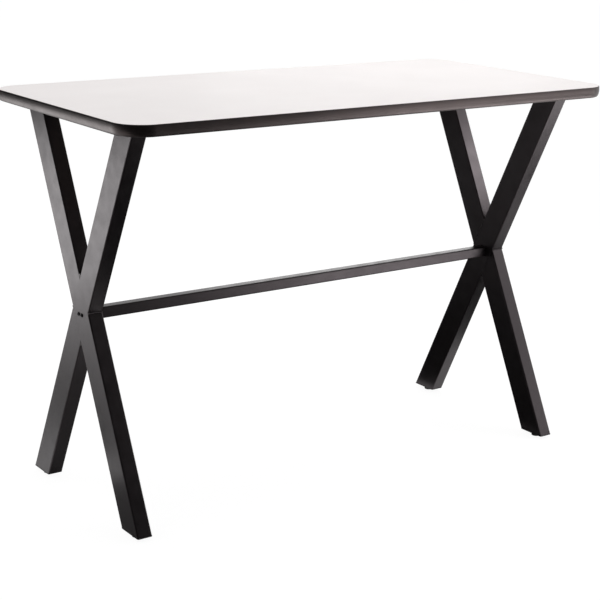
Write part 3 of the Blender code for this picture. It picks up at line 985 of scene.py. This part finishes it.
@dataclass
class LevellingFoot:
    """A leg's end plug with its captive nut, and the glide that screws up and down in it."""

    reach: Reach
    side: Side
    plug_arris: float = 0.35 * MM
    plug_arris_segments: int = 3
    pad_edge: float = 1.2 * MM
    pad_edge_steps: int = 5
    pad_steps: int = 56
    recess_radius: float = 7.0 * MM
    recess_depth: float = 0.4 * MM
    neck_share: float = 0.5
    swivel_radius: float = 6.6 * MM
    swivel_height: float = 1.8 * MM
    collar_gap: float = 0.3 * MM
    collar_height: float = 4.2 * MM
    collar_across: float = 13.0 * MM
    collar_arris: float = 0.4 * MM
    collar_arris_segments: int = 2
    core_steps: int = 32
    tip_chamfer: float = 0.4 * MM
    thread_radius: float = 4.0 * MM
    thread_pitch: float = 1.25 * MM
    thread_depth: float = 0.65 * MM
    thread_steps: int = 18
    ridge_sunk: float = 0.15 * MM
    flank_share: float = 0.44
    crest_share: float = 0.06

    def __post_init__(self) -> None:
        """Read the glide's axis and sizes from its packed pad and stud."""
        self.name = f"{self.reach.word}_{self.side.word}"
        self.pad_low, self.pad_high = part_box(f"{self.name}_glide_pad")
        self.stud_low, self.stud_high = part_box(f"{self.name}_glide_stud")
        self.axis = (self.pad_low + self.pad_high) / 2

    def build(self) -> None:
        """Make the plug, pad and threaded stud, and dress the nut."""
        self.mould_plug()
        self.turn_pad()
        self.cut_stud()
        dress(f"{self.name}_plug_nut", ZINC_PLATE)

    def mould_plug(self) -> None:
        """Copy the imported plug, merge it and ease every arris, as the mould does."""
        node = f"{self.name}_leg_plug"
        piece = add_object("plug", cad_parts[node].data.copy())
        with editing(piece, Pick.VERTICES):
            bpy.ops.mesh.remove_doubles(threshold=PACKED_MERGE_DISTANCE)
            bpy.ops.mesh.dissolve_limited(angle_limit=FLAT_ANGLE)
        ease(piece, self.plug_arris, self.plug_arris_segments)
        deliver(piece, f"{self.name}_moulded_plug", BLACK_NYLON, "black_nylon", node)

    def turn_pad(self) -> None:
        """Turn the round pad, with rolled edges and a shallow recess in its sole."""
        radius = (self.pad_high.x - self.pad_low.x) / 2
        height = self.pad_high.z - self.pad_low.z
        edge = self.pad_edge
        neck = self.neck_share * (self.stud_high.x - self.stud_low.x) / 2
        profile = [(0, self.recess_depth), (self.recess_radius, self.recess_depth),
                   (self.recess_radius + self.recess_depth, 0)]
        profile += arc((radius - edge, edge), (edge, edge), -90, 0, self.pad_edge_steps)
        profile += arc((radius - edge, height - edge), (edge, edge), 0, 90, self.pad_edge_steps)
        profile += [(neck, height), (0, height)]
        node = f"{self.name}_glide_pad"
        pad = turned(profile, self.pad_steps)
        lay(pad, (self.axis.x, self.axis.y, self.pad_low.z))
        deliver(pad, f"{self.name}_round_pad", BLACK_NYLON, "black_nylon", node, body=node)

    def cut_stud(self) -> None:
        """Turn the stud's core over its swivel disc, and join on a spanner collar and a wound thread."""
        node = f"{self.name}_glide_stud"
        base = self.stud_low.z
        tip = self.stud_high.z
        root = self.thread_radius - self.thread_depth
        shoulder = base + self.swivel_height
        profile = [(0, base), (self.swivel_radius, base), (self.swivel_radius, shoulder), (root, shoulder),
                   (root, tip - self.tip_chamfer), (root - self.tip_chamfer, tip), (0, tip)]
        core = turned(profile, self.core_steps)
        collar_low = self.pad_high.z + self.collar_gap
        collar = hexagon_bar(self.collar_across, self.collar_height, collar_low + self.collar_height / 2)
        ease(collar, self.collar_arris, self.collar_arris_segments)
        combine(core, collar, Tooling.FUSE)
        thread_start = collar_low + self.collar_height + self.thread_pitch
        turns = int((tip - thread_start) / self.thread_pitch) - 1
        combine(core, self.ridge(root, thread_start, turns), Tooling.FUSE)
        lay(core, (self.axis.x, self.axis.y, 0))
        deliver(core, f"{self.name}_threaded_stud", ZINC_PLATE, "zinc_plate", node, body=node)

    def ridge(self, root: float, start: float, turns: int) -> Object:
        """Wind the thread's ridge with a Screw modifier and cap both of its ends.

        Args:
            root: The core's radius.
            start: Where the thread starts, above the floor.
            turns: How many turns it has.

        Returns:
            The closed ridge.
        """
        bpy.ops.mesh.primitive_plane_add(size=1)
        piece = bpy.context.object
        inner = root - self.ridge_sunk
        outer = self.thread_radius
        flank = self.flank_share * self.thread_pitch
        crest = self.crest_share * self.thread_pitch
        corners = [(inner, -flank), (outer, -crest), (inner, flank), (outer, crest)]
        for vertex, (radius, height) in zip(piece.data.vertices, corners):
            vertex.co = (radius, 0, start + height)
        with editing(piece, Pick.FACES):
            bpy.ops.mesh.delete(type="ONLY_FACE")
        modify(piece, "SCREW", {"angle": math.tau, "screw_offset": self.thread_pitch, "iterations": turns,
                                "steps": self.thread_steps, "render_steps": self.thread_steps})
        with editing(piece, Pick.EDGES):
            bpy.ops.mesh.remove_doubles(threshold=SPIN_MERGE_DISTANCE)
            bpy.ops.mesh.fill_holes(sides=len(corners))
            bpy.ops.mesh.select_all(action="SELECT")
            bpy.ops.mesh.normals_make_consistent(inside=False)
        return piece


@dataclass(frozen=True)
class SoftBox:
    """A soft box: a lit cloth that shows in gloss and lights the table. A brightness of 1 is white."""

    name: str
    place: Triple
    aim: Triple
    width: float
    height: float
    brightness: float


@dataclass(frozen=True)
class Flag:
    """A dark or grey card, turned by degrees, that only gloss sees and that deepens black pieces."""

    name: str
    place: Triple
    turn: Triple
    width: float
    height: float
    colour: str = "#030303"


@dataclass
class Studio:
    """A white studio: pale floor, soft boxes, dark cards, white room and the camera."""

    floor_size: float = 60.0
    floor_shade: float = 0.14
    open_floor_light: float = 0.5
    paper_colour: str = "#E8E8E8"
    room_colour: str = "#FFFFFF"
    room_light: float = 0.55
    soft_boxes: tuple[SoftBox, ...] = (
        SoftBox("overhead_soft_box", (0.9, 0.5, 4.2), (0.0, 0.0, 1.0), 3.0, 3.0, 2.0),
        SoftBox("left_strip_box", (-1.40, 1.15, 0.48), (-0.70, 0.0, 0.70), 0.9, 0.56, 2.05),
        SoftBox("back_right_box", (1.90, 2.10, 1.05), (0.3, 0.0, 0.60), 1.6, 0.9, 1.4),
        SoftBox("front_right_box", (2.3, -2.1, 0.46), (0.3, 0.0, 0.8), 2.0, 0.86, 2.6),
        SoftBox("key_soft_box", (2.9, -1.75, 2.45), (0.6, 0.2, 0.8), 1.2, 1.2, 1.9),
        SoftBox("lit_floor_panel", (1.60, -1.15, 0.02), (1.60, -1.15, 1.0), 1.5, 0.9, 3.7),
        SoftBox("outer_floor_panel", (1.95, -2.40, 0.02), (1.95, -2.40, 1.0), 2.1, 1.3, 2.2),
        SoftBox("arm_accent_box", (0.93, -0.155, 0.94), (0.676, 0.076, 0.77), 0.20, 0.22, 3.5),
    )
    flags: tuple[Flag, ...] = (
        Flag("front_flag", (-1.44, -1.5, 1.6), (90, 0, 0), 4.32, 3.2),
        Flag("left_flag", (-3.5, -0.5, 1.6), (90, 0, 90), 2.0, 3.2),
        Flag("middle_flag", (-0.73, 2.0, 1.3), (90, 0, 90), 3.2, 2.6),
        Flag("back_flag", (-0.20, 3.4, 1.3), (90, 0, 0), 1.06, 2.6),
        Flag("left_high_flag", (-1.9, 1.9, 2.65), (90, 0, 40), 4.6, 3.9),
        # Cards lying on the floor are painted shade: black and grey sheets, seen only in gloss, that darken
        # the floor round and under the table.
        Flag("inner_painted_floor_shade", (0.14, 0.70, 0.005), (0, 0, 0), 0.96, 2.0),
        Flag("back_painted_floor_shade", (-0.54, 1.35, 0.005), (0, 0, 0), 0.40, 1.6),
        Flag("near_painted_floor_shade", (-0.35, -0.87, 0.004), (0, 0, 0), 1.1, 1.14),
        Flag("right_painted_floor_shade", (0.91, -0.32, 0.003), (0, 0, 0), 0.58, 0.75),
        Flag("left_floor_flag", (-1.15, -0.31, 0.002), (0, 0, 0), 0.9, 0.83, "#9C9C9C"),
        Flag("corner_floor_flag", (-2.2, -1.1, 0.002), (0, 0, 0), 2.6, 0.76),
        Flag("far_left_floor_flag", (-1.06, 0.76, 0.002), (0, 0, 12), 0.20, 1.0),
        Flag("under_left_flag", (-0.53, 0.10, 0.002), (0, 0, 0), 0.34, 0.5, "#A8A8A8"),
        Flag("right_arm_flag", (1.75, -0.50, 0.03), (0, 0, 0), 0.8, 0.55),
        Flag("front_low_flag", (2.10, -1.62, 0.27), (90, 0, 40), 0.8, 0.52),
    )
    photo_size: int = 600
    sensor_mm: float = 36.0
    focal_px: float = 1523.96
    principal_px: tuple[float, float] = (300.0, 250.0)
    camera_place: Triple = (-2.3728, -3.3630, 1.5928)
    camera_compass: float = 34.9811
    camera_pitch: float = -13.5924
    camera_roll: float = 1.0510

    def build(self) -> None:
        """Set up the whole studio."""
        self.lay_floor()
        self.paint_room()
        for box in self.soft_boxes:
            self.hang(box)
        for flag in self.flags:
            self.stand(flag)
        self.stand_camera()
        bpy.context.scene.view_settings.view_transform = "Standard"

    def seen(self, tree: NodeTree) -> NodeSocket:
        """Tell the rays that see the white studio from those that carry its light.

        Args:
            tree: The node tree of the floor or the world.

        Returns:
            1 for camera, gloss and glass rays, and 0 for the others.
        """
        rays = add_node(tree, "ShaderNodeLightPath")
        direct = add_node(tree, "ShaderNodeMath", {"operation": "MAXIMUM"},
                          {0: rays.outputs["Is Camera Ray"], 1: rays.outputs["Is Glossy Ray"]})
        return add_node(tree, "ShaderNodeMath", {"operation": "MAXIMUM"},
                        {0: direct.outputs[0], 1: rays.outputs["Is Transmission Ray"]}).outputs[0]

    def lay_floor(self) -> None:
        """Lay the white paper, which shows white with the table's soft shadow, and is clear from below."""
        bpy.ops.mesh.primitive_plane_add(size=self.floor_size)
        floor = bpy.context.object
        floor.name = "studio_floor"
        material = new_material("white_studio_paper")
        tree = material.node_tree
        tree.nodes.remove(tree.nodes["Principled BSDF"])
        paper = add_node(tree, "ShaderNodeBsdfDiffuse", {}, {"Color": linear_colour(self.paper_colour)})
        shaded = add_node(tree, "ShaderNodeBsdfDiffuse", {}, {"Color": (self.floor_shade,) * 3 + (1.0,)})
        glow = add_node(tree, "ShaderNodeEmission", {},
                        {"Strength": 1.0 - self.open_floor_light * self.floor_shade})
        white = add_node(tree, "ShaderNodeAddShader", {}, {0: shaded.outputs[0], 1: glow.outputs[0]})
        top = add_node(tree, "ShaderNodeMixShader", {},
                       {0: self.seen(tree), 1: paper.outputs[0], 2: white.outputs[0]})
        clear = add_node(tree, "ShaderNodeBsdfTransparent")
        face = add_node(tree, "ShaderNodeNewGeometry")
        sided = add_node(tree, "ShaderNodeMixShader", {},
                         {0: face.outputs["Backfacing"], 1: top.outputs[0], 2: clear.outputs[0]})
        tree.links.new(sided.outputs[0], tree.nodes["Material Output"].inputs["Surface"])
        floor.data.materials.append(material)

    def paint_room(self) -> None:
        """Paint the room: white wherever it is seen, and an even, milder light on everything."""
        world = bpy.data.worlds.new("studio_room")
        bpy.context.scene.world = world
        world.use_nodes = True
        tree = world.node_tree
        # A Mix node's numbers are its sockets 2 and 3.
        strength = add_node(tree, "ShaderNodeMix", {"data_type": "FLOAT"},
                            {0: self.seen(tree), 2: self.room_light, 3: 1.0})
        feed(tree, tree.nodes["Background"],
             {"Strength": strength.outputs[0], "Color": linear_colour(self.room_colour)})

    def hang(self, box: SoftBox) -> None:
        """Hang one soft box.

        Args:
            box: The soft box.
        """
        data = bpy.data.lights.new(box.name, "AREA")
        data.shape = "RECTANGLE"
        data.size = box.width
        data.size_y = box.height
        data.energy = math.pi * box.width * box.height * box.brightness
        item = add_object(box.name, data)
        item.location = box.place
        item.rotation_mode = "QUATERNION"
        item.rotation_quaternion = (Vector(box.aim) - Vector(box.place)).to_track_quat("-Z", "Y")
        item.visible_camera = False

    def stand(self, flag: Flag) -> None:
        """Stand or lay one card, which only gloss sees.

        Args:
            flag: The card.
        """
        turn = [math.radians(degrees) for degrees in flag.turn]
        bpy.ops.mesh.primitive_plane_add(size=1, location=flag.place, rotation=turn)
        card = bpy.context.object
        card.name = flag.name
        card.scale = (flag.width, flag.height, 1)
        for ray in ("camera", "diffuse", "shadow", "transmission"):
            setattr(card, f"visible_{ray}", False)
        material = new_material(flag.name)
        feed(material.node_tree, material.node_tree.nodes["Principled BSDF"],
             {"Base Color": linear_colour(flag.colour), "Roughness": 1.0, "Specular IOR Level": 0.0})
        card.data.materials.append(material)

    def stand_camera(self) -> None:
        """Stand the camera where the photograph was taken from, with its lens and framing."""
        data = bpy.data.cameras.new("photo_camera")
        data.sensor_fit = "HORIZONTAL"
        data.sensor_width = self.sensor_mm
        data.lens = self.focal_px / self.photo_size * self.sensor_mm
        data.shift_x = (self.photo_size / 2 - self.principal_px[0]) / self.photo_size
        data.shift_y = (self.principal_px[1] - self.photo_size / 2) / self.photo_size
        camera = add_object("photo_camera", data)
        camera.location = self.camera_place
        aim = Euler((QUARTER_TURN + math.radians(self.camera_pitch), 0, -math.radians(self.camera_compass)))
        roll = Matrix.Rotation(math.radians(self.camera_roll), 3, "Z")
        camera.rotation_euler = (aim.to_matrix() @ roll).to_euler()
        bpy.context.scene.camera = camera


def main() -> None:
    """Finish the table, piece by piece, and set up the studio."""
    logging.basicConfig(level=logging.INFO, format="%(message)s")
    WorkTop().build()
    for side in Side:
        CrossFrame(side).build()
    Stretcher().build()
    for side in Side:
        for reach in Reach:
            LevellingFoot(reach, side).build()
    Studio().build()


if __name__ == "__main__":
    main()
